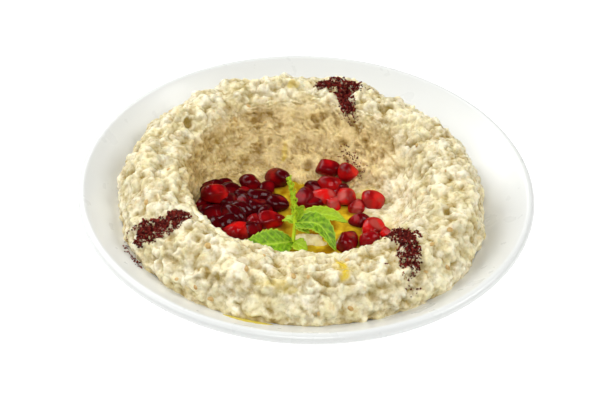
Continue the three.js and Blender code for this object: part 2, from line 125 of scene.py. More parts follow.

# Pomegranate seeds: x, y, turn, tilt, size, and ripeness from pale red to maroon. The maroon
# of the left heap is partly painted shade, as that heap lies in shade by the wall.
LEFT_HEAP = [
    (-48.2, -2.4, 80, 0, 0.9, 0.95),
    (-44.2, 11.4, 30, 0, 0.95, 0.95),
    (-38.2, 14.2, -20, 0, 0.8, 0.7),
    (-35.1, 0, 60, 10, 1.05, 0.7),
    (-29, 7.4, 15, 0, 1, 0.75),
    (-26, 15.2, -10, 5, 1, 0.6),
    (-18.4, 12, 70, 0, 0.9, 0.7),
    (-22.6, -0.8, 40, 0, 1, 0.75),
    (-13.4, 1.6, 4, 0, 0.95, 0.75),
    (-15.4, -10.2, 20, 15, 1.02, 0.35),
    (-24, -11.6, 75, 0, 0.85, 0.45),
    (-30.6, -19.6, 10, 0, 1.1, 0.15),
    (-33.6, -9.4, -30, 0, 1.08, 0.8),
    (-42.6, -9.4, 50, 0, 1.05, 0.85),
    (-40.4, -18.6, -60, 0, 1, 0.7),
    (-41.6, 0.2, 6, 8, 1.1, 0.2),
]
RIGHT_HEAP = [
    (20, 24.2, 80, 30, 1.02, 0.02),
    (10.2, 26, -15, 0, 1, 0.5),
    (-0.4, 8.2, 60, 0, 0.92, 0.45),
    (8.6, 8.4, -15, 0, 1, -0.7),
    (18.4, 8.6, 75, 25, 1, -0.9),
    (23.8, 3, 90, 0, 0.75, -0.5),
    (10.1, 15.8, 160, 0, 1.05, 0),
]
# Seeds under the left heap, which fill its gaps; their dark maroon is partly painted shade.
LEFT_UNDER = [
    (-43, 5, 20, 0, 1, 0.85),
    (-35, 8, -30, 0, 1, 0.85),
    (-28.5, 0, 70, 0, 1.05, 0.8),
    (-22.5, 6, 10, 0, 1.05, 0.8),
    (-30, -5, 0, 0, 1, 0.85),
    (-36.5, -14.5, 40, 0, 1.05, 0.8),
    (-24, -17, 20, 0, 0.9, 0.8),
    (-18.5, -5.5, 60, 0, 0.9, 0.8),
    (-46, -8, 0, 0, 1, 0.85),
    (-37, -5.5, 90, 0, 0.9, 0.85),
]
RIGHT_UNDER = [
    (14.5, 13, 30, 0, 0.95, 0.6),
    (13.2, 5.4, 80, 0, 0.8, -0.4),
    (4.5, 13.5, -40, 0, 0.9, 0.8),
    (4, 5, 20, 0, 0.75, 0.6),
]
LOOSE_SEEDS = [
    (-13.8, 20.6, -48, -25, 1.12, 0.65),
    (31.4, 6, 4, 0, 1, -0.05),
    (25, -7.4, 5, 0, 0.78, 0.6),
    (19.2, -23.8, 65, 0, 1, 0.5),
    (30.2, -23.6, 15, 0, 0.9, 0.3),
    (31.8, -14.2, 55, 20, 1.02, -0.25),
    (37.4, -21.6, -25, 0, 0.55, 0.1),
]

# The sprig: leaves by their midrib's base, middle and tip, their width and the way they face.
STEM_POINTS = [(-5.2, -25, 13.9), (-4.6, -21.4, 23), (-5.6, -17.6, 33), (-8.2, -13.7, 42.4)]
LEAVES = [
    (((-5.2, -25, 14.6), (-17, -30.6, 17), (-28, -31, 16.6)), 13, (0, -0.5, 0.85)),
    (((-5, -25, 14.4), (-1.8, -28.4, 15.4), (1.6, -30.4, 14.8)), 6.5, (0, -0.4, 0.9)),
    (((-4.6, -21.4, 22.6), (6.3, -24.4, 24.4), (14.4, -32, 16.4)), 10.4, (0.35, -0.3, 0.9)),
    (((-4.4, -20.8, 23), (8, -16.5, 24.2), (19.4, -16.6, 20.4)), 8.6, (0.05, -0.15, 1)),
    (((-4.8, -20.8, 22.4), (-7.6, -19, 22.8), (-10.4, -17.6, 20.6)), 6, (0, 0.1, 1)),
    (((-4.6, -20.6, 23.6), (-2.6, -19.4, 28), (-0.8, -19.6, 31.6)), 4.6, (-0.3, -0.9, 0.2)),
    (((-4.6, -22, 21.6), (-1.4, -24.2, 22.4), (2.4, -25.6, 20.6)), 3.6, (0, -0.5, 0.85)),
]

BUDS = {"count": 22, "from": 0.4, "to": 0.97, "turn": 2.4, "long": 4.4, "wide": 2.4}
TOOTH = 2.2  # from one tooth of a leaf's edge to the next
SMALL_LEAF = 5  # up to this width, a leaf's mesh is coarser

# Pinches of sumac: a line of (x, y), how far grains lie from it, their number and their pile.
SUMAC_PINCHES = [
    ([(-72, -43), (-67, -45), (-60, -43.5), (-54, -38.5)], 5, 2700, 1.5),
    ([(-79, -38), (-78.5, -45), (-74, -51), (-71, -56)], 1.5, 90, 0.2),
    ([(5.5, 67), (13, 67.5), (22.5, 64.5)], 3.8, 1250, 1.4),
    ([(14, 64), (18, 58), (19, 52)], 4, 1250, 1.4),
    ([(17, 51), (20, 47.5), (23, 49)], 3.2, 40, 0),
    ([(24, 66), (35, 66)], 2, 14, 0),
    ([(17.6, 37.5), (22, 33), (26, 27)], 3.4, 90, 0),
    ([(41, -44), (44, -49), (45, -56), (45, -64)], 5, 2200, 1.8),
    ([(37.5, -42), (40, -45)], 2, 120, 0.3),
    ([(48, -42), (50, -47)], 2, 110, 0.3),
    ([(42, -69), (46.5, -69.6)], 1.1, 18, 0),
    ([(44, -73), (50, -71)], 1.3, 9, 0),
    ([(34.5, -63), (35.5, -64.5)], 0.7, 9, 0),
]
# A grain's least and greatest length, and its width and height as shares of that.
SUMAC_GRAIN = {"long": (0.6, 1.35), "wide": (0.4, 0.8), "high": (0.25, 0.5)}

AUBERGINE_SEED = (1.15, 0.9, 0.6)  # length, width and height of one of size 1

# Aubergine seeds that show on the ring: x, y and size.
AUBERGINE_SEEDS = [
    (-40.7, -58.1, 3.4), (-38.7, -77.6, 2.9), (-45.3, -74.3, 2.4), (-70.7, -29.7, 2.6),
    (-23.9, -69.4, 2.8), (-53.9, -68.4, 2.2), (52.4, -63, 2.8), (62.6, -57.7, 2.8),
    (20.5, -81.9, 2.9), (51.6, -30.8, 2.4), (63.3, -40.8, 2.6), (-29.7, 50.4, 2.9),
    (-35.5, 41.7, 2.6), (-25, 44.8, 2.2), (-21.2, 46.5, 2.2), (-32.4, 37.6, 2),
    (6.8, -85.4, 2.8), (-3.8, -74.5, 2.6), (2.1, -73.6, 2), (51.1, 24.7, 2.2),
]
MORE_SEEDS = {"count": 8, "band": (57, 84), "size": (1.6, 2.6)}


# ---- Curves ----
def spline(points, share):
    """The point at this share of a smooth line that goes through all the points."""
    reach = share * (len(points) - 1)
    i = min(int(reach), len(points) - 2)
    t = reach - i
    a, b = points[i], points[i + 1]
    lean_a = (b - points[max(i - 1, 0)]) / 2
    lean_b = (points[min(i + 2, len(points) - 1)] - a) / 2
    cube, square = 2 * (a - b) + lean_a + lean_b, 3 * (b - a) - 2 * lean_a - lean_b
    return ((cube * t + square) * t + lean_a) * t + a


def spline_way(points, share, step=0.01):
    low, high = max(0, share - step), min(1, share + step)
    return (spline(points, high) - spline(points, low)).normalized()


def smoothstep(value, low, high):
    t = min(1, max(0, (value - low) / (high - low)))
    return t * t * (3 - 2 * t)


def lerp(a, b, share):
    return a + (b - a) * share


def polar(r, theta, z=0):
    return Vector((r * cos(theta), r * sin(theta), z))


def oval_reach(x, y, oval_x, oval_y, long, wide, turn=0):
    """How far out of an oval's middle a point lies: 1 at the oval's edge."""
    c, s = cos(radians(turn)), sin(radians(turn))
    dx, dy = x - oval_x, y - oval_y
    return hypot((dx * c + dy * s) * 2 / long, (dy * c - dx * s) * 2 / wide)


def around(sizes, theta):
    """The size at an angle, from sizes that are spaced evenly round the plate."""
    turn = (theta / TURN) % 1 * len(sizes)
    i = int(turn)
    return lerp(sizes[i], sizes[(i + 1) % len(sizes)], smoothstep(turn - i, 0, 1))


# ---- Meshes ----
def rolled_skin(bm, sides, rows, place):
    """A grid whose columns go round and whose rows go along. place(vert, theta, row) puts each
    point where it belongs, and side edges and end rows that meet are joined."""
    grid = bmesh.ops.create_grid(bm, x_segments=sides, y_segments=rows, size=1, calc_uvs=True)
    for vert in grid["verts"]:
        column, row = round((vert.co.x + 1) / 2 * sides), round((vert.co.y + 1) / 2 * rows)
        place(vert, column % sides / sides * TURN, row)
    bmesh.ops.remove_doubles(bm, verts=grid["verts"], dist=1e-4)
    bmesh.ops.recalc_face_normals(bm, faces=bm.faces)


def add_piece(bm, name, material):
    """Turns a mesh in millimetres into an object of the scene."""
    bmesh.ops.scale(bm, vec=(MM, MM, MM), verts=bm.verts)
    mesh = bpy.data.meshes.new(name)
    bm.to_mesh(mesh)
    bm.free()
    mesh.shade_smooth()
    mesh.materials.append(material)
    piece = bpy.data.objects.new(name, mesh)
    bpy.context.scene.collection.objects.link(piece)
    return piece


def finish(bm, name, material, slot, *nodes):
    """Makes a piece of the plateful, and ties it to the frame."""
    piece = add_piece(bm, name, material)
    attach(piece, "root")
    if nodes:
        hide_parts(*nodes)


def new_mesh(*attributes):
    """An empty mesh with a UV map and these numbers on its points."""
    bm = bmesh.new()
    bm.loops.layers.uv.new("UVMap")
    return bm, [bm.verts.layers.float.new(name) for name in attributes]


# ---- Materials ----
class Finish:
    """One material: a Principled shader and the nodes of its pattern. A colour can be given
    as its name in the settings."""

    def __init__(self, name, settings, **sockets):
        self.material = bpy.data.materials.new(name)
        self.material.use_nodes = True
        self.tree = self.material.node_tree
        self.shader = self.tree.nodes["Principled BSDF"]
        self.settings = settings
        for socket, value in sockets.items():
            self.set(socket.replace("_", " "), value)

    def node(self, kind, inputs=(), **options):
        made = self.tree.nodes.new("ShaderNode" + kind)
        for name, value in options.items():
            setattr(made, name, value)
        for socket, value in dict(inputs).items():
            self.plug(value, made.inputs[socket])
        return made

    def plug(self, value, socket):
        if isinstance(value, bpy.types.NodeSocket):
            self.tree.links.new(value, socket)
            return
        if isinstance(value, str):
            value = (*getattr(self.settings, value), 1)
        socket.default_value = value

    def set(self, socket, value):
        self.plug(value, self.shader.inputs[socket])

    def place(self, stretch=(1, 1, 1)):
        """Object coordinates, stretched along each axis."""
        where = self.node("TexCoord").outputs["Object"]
        return self.node("Mapping", {"Vector": where, "Scale": stretch}).outputs[0]

    def mottle(self, size, detail=3.0, where=None, rough=0.5):
        """Cloudy noise with spots about this many metres wide, from 0 to 1."""
        inputs = {"Scale": 1 / size, "Detail": detail, "Roughness": rough}
        inputs["Vector"] = where or self.place()
        return self.node("TexNoise", inputs).outputs["Fac"]

    def number(self, name):
        return self.node("Attribute", attribute_name=name).outputs["Fac"]

    def between(self, value, low, high, to_low=0.0, to_high=1.0):
        inputs = {"Value": value, "From Min": low, "From Max": high}
        inputs |= {"To Min": to_low, "To Max": to_high}
        return self.node("MapRange", inputs).outputs[0]

    def patches(self, size, low, high, a, b, **pattern):
        """Patches about this wide of two colours: a where the noise is low, b where it is high."""
        return self.mix(self.between(self.mottle(size, **pattern), low, high), a, b)

    def combine(self, a, b, operation="MULTIPLY"):
        return self.node("Math", {0: a, 1: b}, operation=operation).outputs[0]

    def mix(self, share, a, b, blend="MIX"):
        """Colour a to colour b by a share."""
        made = self.node("Mix", {0: share, 6: a, 7: b}, data_type="RGBA", blend_type=blend)
        return made.outputs[2]

    def bump(self, height, depth, strength):
        inputs = {"Height": height, "Distance": depth, "Strength": strength}
        self.set("Normal", self.node("Bump", inputs).outputs["Normal"])

    def gloss(self, size, low, high):
        """Roughness that drifts between two values, in patches of about this size."""
        self.set("Roughness", self.between(self.mottle(size), 0.3, 0.7, low, high))


def glazed_porcelain(settings):
    glaze = Finish("glazed_porcelain", settings, Coat_Weight=0.1, Coat_Roughness=0.1)
    cloud = glaze.mottle(0.03, 2.0)
    warm = [c * f for c, f in zip(settings.glaze, (0.985, 0.98, 0.955))]
    glaze.set("Base Color", glaze.mix(cloud, "glaze", (*warm, 1)))
    glaze.gloss(0.012, 0.26, 0.34)
    glaze.bump(glaze.mottle(0.02, 1.0), 0.0004, 0.12)
    return glaze.material


def curdled_dip(settings):
    dip = Finish(
        "curdled_dip",
        settings,
        Subsurface_Weight=0.2,
        Subsurface_Radius=(1.0, 0.7, 0.35),
        Subsurface_Scale=0.003,
        Specular_IOR_Level=0.5,
    )
    tone = dip.patches(0.007, 0.36, 0.64, "cream", "pale_cream")
    for size, stretch, spots, colour in (
        (0.0034, (1, 1.2, 1.1), 0.75, "straw"),
        (0.005, (1.3, 1.1, 0.9), 0.4, "ash"),
    ):
        spot = dip.between(dip.mottle(size, where=dip.place(stretch)), 0.56, 0.7, 0.0, spots)
        tone = dip.mix(spot, tone, colour)
    # The spooned wall's colour, partly painted shade, where the wall faces away from the light.
    scraped = dip.patches(0.0036, 0.4, 0.64, "spooned_and_shaded", "scraped", detail=5.0, rough=0.7)
    tone = dip.mix(dip.combine(dip.number("spooned_and_shaded"), 0.85), tone, scraped)
    # Painted shade: the colour is darkened towards the crease tint in creases, pits and the
    # hollows of the spoon marks, and on the back and left of the wall.
    uneven = dip.between(dip.mottle(0.0016, 2.0), 0.3, 0.7, -0.09, 0.09)
    hollow = dip.combine(dip.number("open_to_light"), uneven, "ADD")
    shade = dip.mix(dip.between(hollow, 0.2, 0.75), "crevice", (1, 1, 1, 1))
    tone = dip.mix(1.0, tone, shade, "MULTIPLY")
    oil = dip.number("oil")
    soaked = dip.mix(dip.mottle(0.003), "soaked", "deep_soaked")
    dip.set("Base Color", dip.mix(oil, tone, soaked))
    dry = dip.between(dip.mottle(0.0016), 0.35, 0.65, 0.2, 0.42)
    dip.set("Roughness", dip.combine(dry, dip.combine(oil, 0.25), "SUBTRACT"))
    dip.bump(dip.mottle(0.0012, 4.0, rough=0.62), 0.0006, 0.6)
    return dip.material


def olive_oil(settings):
    oil = Finish("olive_oil", settings, IOR=1.47, Roughness=0.03, Transmission_Weight=0.3)
    gold = oil.patches(0.007, 0.38, 0.6, "gold", "amber")
    gold = oil.mix(oil.number("thin"), gold, "film")
    # Juice colour, partly painted shade, beside the seeds and between those on the left.
    oil.set("Base Color", oil.mix(oil.number("juice_and_shade"), gold, "juice_and_shade"))
    oil.bump(oil.mottle(0.006, 1.0), 0.0003, 0.25)
    return oil.material


def pomegranate_flesh(settings):
    flesh = Finish(
        "pomegranate_flesh",
        settings,
        Subsurface_Weight=0.4,
        Subsurface_Radius=(1.0, 0.06, 0.05),
        Subsurface_Scale=0.004,
        Specular_IOR_Level=0.17,
        Transmission_Weight=0.3,
        IOR=1.33,
    )
    # The ripeness attribute also carries painted shade: dark rims where facets meet, and the
    # darker seeds of the left heap.
    ripe_and_shade = flesh.number("ripe_and_shade")
    fresh = flesh.between(ripe_and_shade, 0.0, 0.45)
    body = flesh.mix(fresh, "scarlet", "crimson")
    body = flesh.mix(flesh.between(ripe_and_shade, 0.45, 1.0), body, "maroon")
    cloud = flesh.between(flesh.mottle(0.006, 1.5), 0.38, 0.62)
    body = flesh.mix(flesh.combine(cloud, 0.7), body, "maroon")
    pale = flesh.combine(flesh.between(ripe_and_shade, -1.0, 0.0, 0.9, 0.0), cloud)
    flesh.set("Base Color", flesh.mix(pale, body, "blush"))
    flesh.gloss(0.0015, 0.08, 0.16)
    flesh.bump(flesh.mottle(0.003, 2.0), 0.0004, 0.35)
    return flesh.material


def mint_leaf(settings):
    leaf = Finish(
        "mint_leaf",
        settings,
        Specular_IOR_Level=0.25,
        Subsurface_Weight=0.15,
        Subsurface_Radius=(0.4, 1.0, 0.2),
        Subsurface_Scale=0.001,
    )
    blade = leaf.patches(0.0016, 0.36, 0.6, "leaf", "dark_leaf")
    blade = leaf.mix(leaf.number("young"), blade, "young_leaf")
    leaf.set("Base Color", leaf.mix(leaf.number("vein"), blade, "vein"))
    leaf.gloss(0.0015, 0.38, 0.55)
    cells = leaf.node("TexVoronoi", {"Vector": leaf.place(), "Scale": 1600.0})
    leaf.bump(cells.outputs["Distance"], 0.0002, 0.5)
    return leaf.material


def ground_sumac(settings):
    sumac = Finish("ground_sumac", settings, Specular_IOR_Level=0.1)
    sumac.set("Base Color", sumac.patches(0.0012, 0.42, 0.66, "burgundy", "brick"))
    sumac.gloss(0.0007, 0.5, 0.8)
    sumac.bump(sumac.mottle(0.0004), 0.0002, 0.6)
    return sumac.material


def aubergine_seed_coat(settings):
    coat = Finish("aubergine_seed_coat", settings, Specular_IOR_Level=0.5, Subsurface_Weight=0.1)
    coat.set("Base Color", coat.patches(0.0015, 0.35, 0.65, "tan", "toffee"))
    coat.gloss(0.001, 0.3, 0.5)
    coat.bump(coat.mottle(0.0006), 0.0002, 0.4)
    return coat.material


def paper_floor(settings):
    floor = Finish(
        "pale_floor",
        settings,
        Roughness=0.9,
        Specular_IOR_Level=0.1,
        Emission_Color=(1, 1, 1, 1),
        Emission_Strength=FLOOR_GLOW,
    )
    shade = [c * 0.985 for c in settings.floor]
    floor.set("Base Color", floor.mix(floor.mottle(0.08), "floor", (*shade, 1)))
    return floor.material


# ---- Settings ----
def measure(name, description, default, **limits):
    return bpy.props.FloatProperty(
        name=name, description=description, default=default, precision=4, **limits
    )


def length(name, description, default):
    return measure(name, description, default, min=0, unit="LENGTH")


def colour(name, description, default):
    return bpy.props.FloatVectorProperty(
        name=name, description=description, default=default, subtype="COLOR", min=0, max=1
    )


class PlateSettings(bpy.types.PropertyGroup):
    radius: length("Radius", "Radius of the plate's lip", PLATE_TOP.x)
    height: length("Height", "Height of the plate's lip", PLATE_TOP.z)
    wall: length("Wall", "Thickness of the porcelain", 3.8 * MM)
    floor: length("Floor", "Height of the eating surface", 7 * MM)
    floor_radius: length("Floor radius", "Radius of the flat eating surface", 46 * MM)
    lip: length("Lip", "Half the thickness of the rolled edge", 2.35 * MM)
    foot_radius: length("Foot radius", "Outer radius of the foot ring", 56 * MM)
    foot_width: length("Foot width", "Width of the foot ring", 5 * MM)
    glaze: colour("Glaze", "Colour of the glaze", (0.735, 0.75, 0.74))


class DipSettings(bpy.types.PropertyGroup):
    curd: length("Curd size", "Width of the curds on the ring", 4.2 * MM)
    curd_depth: length("Curd depth", "Height of the mounds of curds", 2.9 * MM)
    smear_depth: length("Smear depth", "Depth of the spoon marks on the wall", 0.95 * MM)
    cream: colour("Cream", "Main colour of the dip", (0.82, 0.735, 0.43))
    pale_cream: colour("Pale cream", "Colour of the palest curds", (0.93, 0.875, 0.67))
    # Painted shade: this tint darkens the creases and pits of the curds and the hollows of the
    # spoon marks.
    crevice: colour("Crevice", "Tint in the creases", (0.42, 0.32, 0.11))
    straw: colour("Straw", "Colour of the soft seedy spots", (0.72, 0.56, 0.27))
    ash: colour("Ash", "Colour of the faint charred spots", (0.55, 0.54, 0.36))
    # The spooned wall's colours are partly its own and partly painted shade: they lie on the back
    # and left of the wall, which face away from the light.
    spooned_and_shaded: colour("Spooned", "Main colour of the spooned wall", (0.78, 0.6, 0.25))
    scraped: colour("Scraped", "Deeper colour of the spooned wall", (0.6, 0.4, 0.12))
    soaked: colour("Soaked", "Colour where oil lies on the dip", (0.78, 0.6, 0.045))
    deep_soaked: colour("Deep soaked", "Colour where more oil lies", (0.62, 0.42, 0.012))


class OilSettings(bpy.types.PropertyGroup):
    meniscus: length("Meniscus", "How high the oil climbs at its edges", 0.45 * MM)
    gold: colour("Gold", "Colour of thin oil", (0.98, 0.7, 0.03))
    amber: colour("Amber", "Colour of deep oil", (0.44, 0.21, 0.004))
    film: colour("Film", "Colour of the thin film on the plate", (0.78, 0.62, 0.08))
    # Dark red of the juice, partly painted shade between and beside the seeds.
    juice_and_shade: colour("Juice", "Colour where seeds bleed into the oil", (0.12, 0.006, 0.004))


class PomegranateSettings(bpy.types.PropertyGroup):
    facet: measure("Facet", "How flat the seeds are pressed", 0.76, min=0.5, max=1)
    scarlet: colour("Scarlet", "Colour of the freshest seeds", (0.84, 0.012, 0.01))
    crimson: colour("Crimson", "Colour of ripe seeds", (0.4, 0.004, 0.007))
    # Partly painted shade: this maroon is dark to stand for the shade on the seeds of the left
    # heap.
    maroon: colour("Maroon", "Colour of the darkest seeds", (0.075, 0.001, 0.003))
    blush: colour("Blush", "Colour of pale flesh", (0.78, 0.16, 0.13))


class MintSettings(bpy.types.PropertyGroup):
    thickness: length("Thickness", "Thickness of a leaf", 0.45 * MM)
    stem: length("Stem", "Radius of the stem at its foot", 0.85 * MM)
    leaf: colour("Leaf", "Main green of the leaves", (0.17, 0.38, 0.001))
    dark_leaf: colour("Dark leaf", "Green in the hollows", (0.045, 0.15, 0.001))
    young_leaf: colour("Young leaf", "Green of stem and buds", (0.55, 0.7, 0.02))
    vein: colour("Vein", "Green of veins and edges", (0.48, 0.68, 0.05))


class SumacSettings(bpy.types.PropertyGroup):
    burgundy: colour("Burgundy", "Dark grains of sumac", (0.048, 0.001, 0.001))
    brick: colour("Brick", "Bright grains of sumac", (0.3, 0.035, 0.022))
    tan: colour("Tan", "Pale coat of aubergine seeds", (0.7, 0.46, 0.17))
    toffee: colour("Toffee", "Dark coat of aubergine seeds", (0.5, 0.28, 0.075))


class StageSettings(bpy.types.PropertyGroup):
    elevation: measure("Elevation", "Height above the horizon", radians(38.7), subtype="ANGLE")
    roll: measure("Roll", "Turn about the line of sight", radians(2.02), subtype="ANGLE")
    distance: length("Distance", "From the camera to the dip's middle", 0.7)
    lens: measure("Lens", "Focal length", 89.73, unit="CAMERA")
    floor: colour("Floor", "Colour of the floor", (0.6, 0.6, 0.6))


SETTINGS = {
    "meze_plate": PlateSettings,
    "meze_dip": DipSettings,
    "meze_oil": OilSettings,
    "meze_pomegranate": PomegranateSettings,
    "meze_mint": MintSettings,
    "meze_sumac": SumacSettings,
    "meze_stage": StageSettings,
}


# ---- Plate ----
def bowl_end(plate):
    """How steeply the bowl meets its rolled lip, and the radius and height where it does."""
    slope = atan(
        PLATE_RISE * (plate.height - plate.floor) / (plate.radius - plate.floor_radius)
    )
    end_r = plate.radius - plate.lip * (1 + sin(slope))
    end_z = plate.height - plate.lip * (1 - cos(slope))
    return slope, end_r / MM, end_z / MM


def plate_inside(r):
    """Height of the eating surface at a radius."""
    plate = bpy.context.scene.meze_plate
    floor, floor_radius = plate.floor / MM, plate.floor_radius / MM
    _, end_r, end_z = bowl_end(plate)
    share = max(0, r - floor_radius) / (end_r - floor_radius)
    return floor + (end_z - floor) * share**PLATE_RISE


def plate_outside(r, wall):
    """The point of the outer face that lies a wall's thickness from the inside at a radius."""
    lean = atan(plate_inside(r + 0.5) - plate_inside(r - 0.5))
    return r + wall * sin(lean), plate_inside(r) - wall * cos(lean)


def plate_profile(plate, wall_steps=28, lip_steps=12):
    """The plate's section, from the middle of its underside round to the middle of its floor."""
    wall, lip, floor = plate.wall / MM, plate.lip / MM, plate.floor / MM
    slope, end_r, _ = bowl_end(plate)
    lip_r, lip_z = plate.radius / MM - lip, plate.height / MM - lip
    steps = [lerp(plate.floor_radius / MM, end_r, i / wall_steps) for i in range(wall_steps)]
    under = floor - wall
    foot = plate.foot_radius / MM
    inner = foot - plate.foot_width / MM
    profile = [(0, under), (inner - 2, under), (inner - 1, under - 0.4)]
    profile += [(inner, 0.5), (inner + 0.5, 0), (foot - 0.6, 0), (foot, 0.6)]
    profile.append((foot + 0.4, plate_outside(foot, wall)[1] - 0.5))
    outer = [plate_outside(r, wall) for r in steps]
    profile += [point for point in outer if point[0] > foot + 2]
    for i in range(lip_steps + 1):
        turn = slope - pi / 2 + pi * i / lip_steps
        profile.append((lip_r + lip * cos(turn), lip_z + lip * sin(turn)))
    profile += [(r, plate_inside(r)) for r in reversed(steps)]
    return profile + [(0, floor)]


class MEZE_OT_plate(bpy.types.Operator):
    """Turn the deep porcelain plate with its foot ring and rolled lip"""

    bl_idname = "meze.plate"
    bl_label = "Plate"

    def execute(self, context):
        settings = context.scene.meze_plate
        bm = bmesh.new()
        line = [bm.verts.new((r, 0, z)) for r, z in plate_profile(settings)]
        edges = [bm.edges.new(pair) for pair in zip(line, line[1:])]
        bmesh.ops.spin(
            bm, geom=line + edges, cent=(0, 0, 0), axis=UP, angle=TURN, steps=176, use_merge=True
        )
        bmesh.ops.remove_doubles(bm, verts=bm.verts, dist=1e-4)
        bmesh.ops.recalc_face_normals(bm, faces=bm.faces)
        finish(bm, "porcelain_plate", glazed_porcelain(settings), "porcelain", "plate")
        return {"FINISHED"}


# ---- Dip ----
def well_reach(theta):
    c, s = cos(theta), sin(theta)
    across = WELL_REACH["right" if c > 0 else "left"]
    along = WELL_REACH["back" if s > 0 else "front"]
    return across * c * c + along * s * s


def dip_section(theta):
    """Points (r, z) of the dip's section, from the middle of the well to the base."""
    reach, top, base = well_reach(theta), around(RING_TOP, theta), around(RING_BASE, theta)

    def wall(out, up):
        return lerp(reach, EDGE_RADIUS, out), lerp(WELL_FLOOR, EDGE_HEIGHT, up)

    points = [
        (0, WELL_FLOOR),
        (reach * 0.55, WELL_FLOOR),
        wall(0, 0.03),
        wall(0.35, 0.2),
        wall(0.7, 0.56),
        wall(1, 1),
        (lerp(EDGE_RADIUS, TOP_RADIUS, 0.5), top - 1.4),
        (TOP_RADIUS, top),
        (lerp(TOP_RADIUS, base, 0.5), top - 2.6),
        (base - 3, top - 8),
        (base - 0.4, top - 14.5),
        (base, plate_inside(base) - 0.3),
    ]
    return [Vector(point) for point in points]


def domes(point, size, softness=0.11):
    """Rounded lumps about this wide, which melt into each other: height from 0 to 1."""
    distances = voronoi(point / size)[0]
    near = -softness * log(sum(exp(-d * d / softness) for d in distances))
    return 1 - 1.5 * near


def billow(point, size):
    """Soft swellings of uneven shape with narrow creases between them, from 0 to about 1."""
    swing = noise(point / size)
    return 1.6 * sqrt(swing * swing + 0.003)


def curdle(point, size):
    """Curds: swellings with lumps on them and crumbs on the lumps. Gives their height in curd
    depths, and how far it is out of a crease, from 0 to 1, which sets the painted shade in the
    creases."""
    drift = Vector(noise_vector(point / (1.3 * size)))
    drift += 0.5 * Vector(noise_vector(point / (0.6 * size) + Vector((5, 1, 7))))
    mound = billow(point + 2.4 * drift, 2.6 * size)
    lump = billow(point + 1.4 * drift + Vector((30, 0, 9)), 1.3 * size)
    crumb = domes(point + 1.6 * drift + Vector((0, 40, 3)), 0.55 * size)
    curd = domes(point + 2.4 * drift, size)
    firm = smoothstep(noise(point / 11 + Vector((3, 0, 8))), -0.35, 0.2)
    swell, fine = noise(point / 10 + Vector((0, 4, 2))), noise(point / 1.1)
    height = 0.7 * mound + lerp(0.5, 0.35, firm) * lump + lerp(0.15, 0.3, firm) * crumb
    height += lerp(0.2, 0.85, firm) * curd + 0.7 * swell + 0.07 * fine - 1.1
    return height, 0.2 * mound + 0.2 * lump + 0.2 * crumb + 0.45 * curd


def spoon_marks(point, theta, share):
    """Wrinkles that a spoon drew: slanting across the back, and straight down the left."""
    left = smoothstep(-cos(theta - 0.2), 0.35, 0.85)
    lean = radians(lerp(24, 84, left))
    run, drop = theta * WALL_RADIUS, share * SECTION_LONG
    along = run * cos(lean) + drop * sin(lean)
    across = drop * cos(lean) - run * sin(lean)
    across += 2 * noise(point / 6)
    drawn = 1.7 * abs(noise(Vector((along / lerp(4.2, 7, left), across / 2.1, 0))))
    drawn += 1.1 * abs(noise(Vector((along / lerp(2.4, 4, left), across / 1.2, 7))))
    drawn *= smoothstep(min(theta, TURN - theta), 0.35, 0.8)
    lumps = 0.5 * noise(point / 1.4) + 0.9 * noise(point / 3)
    rough = lerp(0.35, 1.15, smoothstep(noise(point / 6 + Vector((0, 9, 0))), -0.35, 0.25))
    return rough * (drawn + lumps - 0.6) + 1.4 * noise(point / 7)


def in_stain(x, y, stain):
    """Its strength in the middle of an oval stain, 0 outside it."""
    *oval, strength = stain
    ragged = 0.45 * noise(Vector((x / 2.2, y / 2.2, 4)))
    return strength * (1 - smoothstep(oval_reach(x, y, *oval) + ragged, 0.4, 1.1))


def dip_point(section, theta, share):
    """A point on the smooth dip and the way it faces."""
    at, way = spline(section, share), spline_way(section, share, 0.004)
    return polar(at.x, theta, at.y), polar(-way.y, theta, way.x)


def share_at(section, radius):
    low, high = 0.0, 1.0
    for _ in range(16):
        middle = (low + high) / 2
        low, high = (middle, high) if spline(section, middle).x < radius else (low, middle)
    return low


def dip_height(x, y):
    section = dip_section(atan2(y, x))
    return spline(section, share_at(section, hypot(x, y))).y


def mound_height(point):
    """The small heap of dip that stands out of the oil."""
    reach = oval_reach(point.x, point.y, *MOUND)
    ragged = 0.7 * noise(Vector((point.x / 4.5, point.y / 4.5, 2)))
    return MOUND_HEIGHT * sqrt(max(0, 1 - reach * reach + ragged))


def shore_height(point, theta):
    """How high the well's floor rises out of the oil, past the pool's edge."""
    past = point.xy.length - around(POOL_REACH, theta) - 2.5 * noise(point / 4)
    return lerp(WELL_FLOOR, OIL_LEVEL + 1.1, smoothstep(past, -2.5, 1.5))


def wetness(point):
    return max(in_stain(point.x, point.y, stain) for stain in OIL_STAINS)


def wall_tint_and_shade(theta):
    """How much of the spooned wall's yellower, darker colour a spot gets: most at the back and on
    the left. It is partly the wall's own colour and partly painted shade, as those walls face
    away from the light.
    """
    return smoothstep(cos(theta - 2.1), -0.35, 0.35)


def pit_depth(point):
    deep = 0
    for pit_x, pit_y, radius, pit in PITS:
        away = hypot(point.x - pit_x, point.y - pit_y) / radius
        deep += pit * (1 - smoothstep(away, 0.3, 1.3))
    return deep


